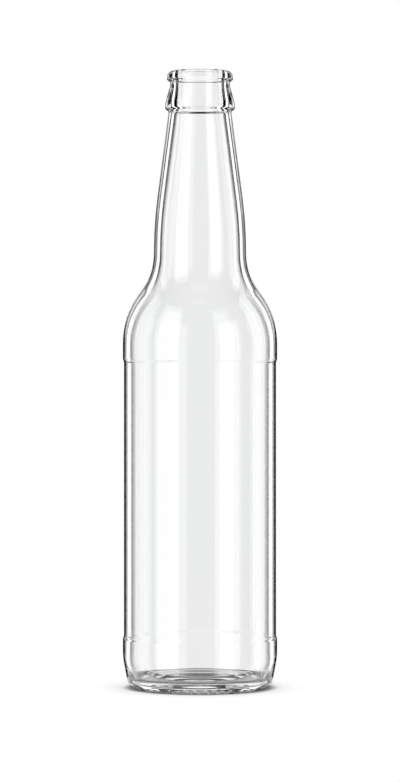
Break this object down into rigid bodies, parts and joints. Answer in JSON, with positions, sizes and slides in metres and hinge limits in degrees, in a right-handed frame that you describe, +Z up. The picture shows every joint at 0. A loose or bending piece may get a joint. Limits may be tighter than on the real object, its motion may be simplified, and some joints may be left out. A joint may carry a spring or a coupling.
{
  "type": "glass soda bottle",
  "caption": "Tall round bottle of clear glass with a long tapering neck, rounded shoulder, recessed label panel, pushed-up base and a beaded mouth that takes a crown cap.",
  "frame": {"origin": "centre of the ring that the bottle stands on, in the plane of the surface under it", "axes": "+Z up along the bottle's axis of revolution, out of the mouth; -Y towards the viewer and +X to the viewer's right"},
  "size_m": [0.0617, 0.0616, 0.2465],
  "materials": {
    "clear_glass": "polished"
  },
  "bodies": {
    "root": {"bottle": "clear_glass"}
  },
  "joints": []
}
